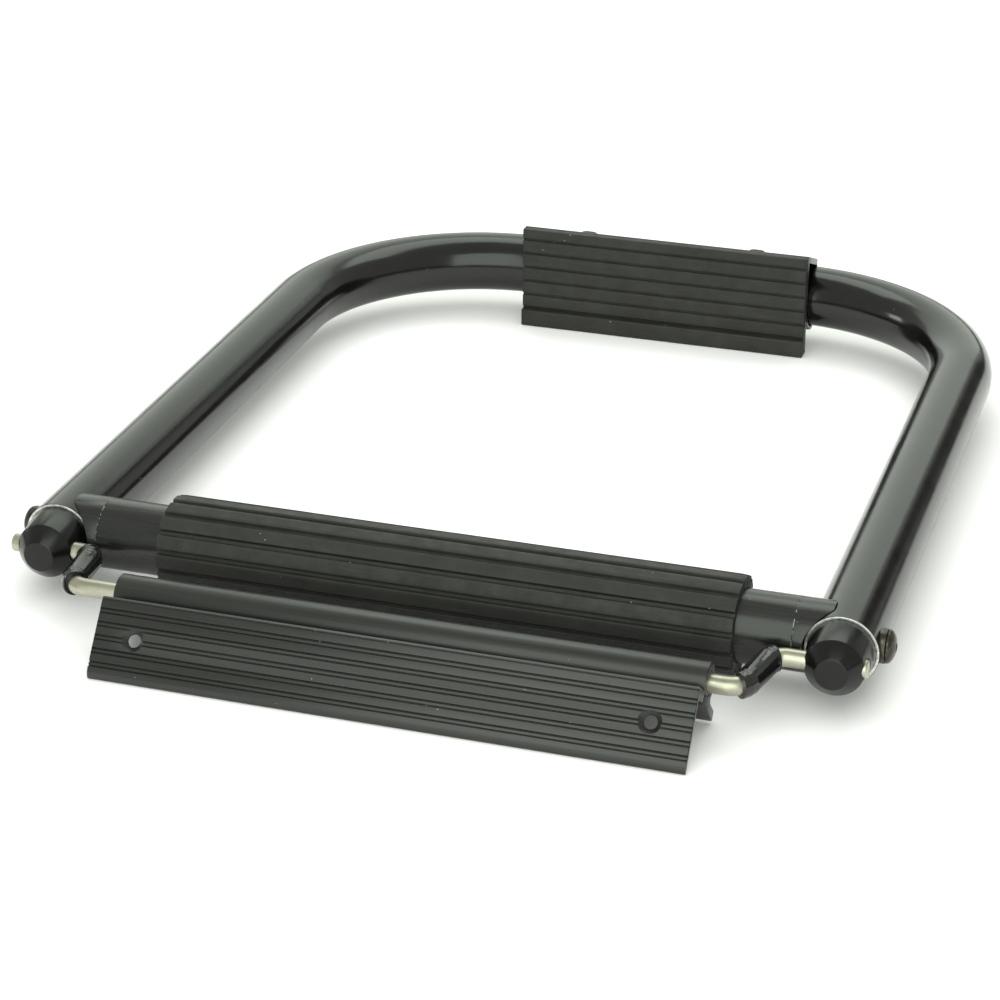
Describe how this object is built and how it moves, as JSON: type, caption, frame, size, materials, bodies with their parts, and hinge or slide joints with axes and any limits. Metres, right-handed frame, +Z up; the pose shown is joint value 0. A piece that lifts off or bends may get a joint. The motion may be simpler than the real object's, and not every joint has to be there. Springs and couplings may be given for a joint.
{
  "type": "fold-down tubular step hoop",
  "caption": "Hinged tubular hoop with a ribbed rubber tread and crossbar sleeve, carried on a cranked pivot rod in a grooved screw-on bracket",
  "frame": {"origin": "centre of the footprint, on the surface that the object lies on", "axes": "+X along the crossbar and the hinge axes, +Y from the hinge bracket towards the tread, +Z up as it lies"},
  "size_m": [0.3942, 0.4894, 0.0553],
  "materials": {
    "hoop_paint": "gloss black powder coat",
    "plug_black": "smooth black, lightly polished",
    "crossbar_finish": "semi-gloss black",
    "sleeve_rubber": "matt ribbed black rubber",
    "tread_rubber": "matt grooved black rubber",
    "extrusion": "satin black anodised extrusion",
    "stainless": "warm satin stainless",
    "dark_fastener": "blackened steel with bright edges",
    "brass_insert": "plain brass",
    "vinyl": "shiny black vinyl tube",
    "nylon": "natural nylon"
  },
  "bodies": {
    "hoop": {"hoop_tube": "hoop_paint", "end_plug_left": "plug_black", "end_plug_right": "plug_black", "crossbar_tube": "crossbar_finish", "crossbar_end_left": "crossbar_finish", "crossbar_end_right": "crossbar_finish", "threaded_insert_left": "brass_insert", "threaded_insert_right": "brass_insert", "leg_screw_left": "dark_fastener", "leg_screw_right": "dark_fastener", "saddle_washer_left": "dark_fastener", "saddle_washer_right": "dark_fastener", "crossbar_sleeve": "sleeve_rubber", "tread_carrier": "extrusion", "tread_pad": "tread_rubber", "tread_screw_left": "dark_fastener", "tread_screw_right": "dark_fastener"},
    "rod": {"pivot_rod": "stainless", "crank_sleeve_left": "vinyl", "crank_sleeve_right": "vinyl"},
    "bracket": {"hinge_bracket": "extrusion", "hinge_bush_left": "nylon", "hinge_bush_right": "nylon"}
  },
  "joints": [
    {"name": "crank_hinge", "type": "hinge", "parent": "hoop", "child": "rod", "pos_m": [0, -0.17561, 0.02294], "axis": [-1, 0, 0], "range_deg": [-85, 85]},
    {"name": "bracket_hinge", "type": "hinge", "parent": "rod", "child": "bracket", "pos_m": [0, -0.20559, 0.02211], "axis": [-1, 0, 0], "range_deg": [-70, 90]}
  ]
}
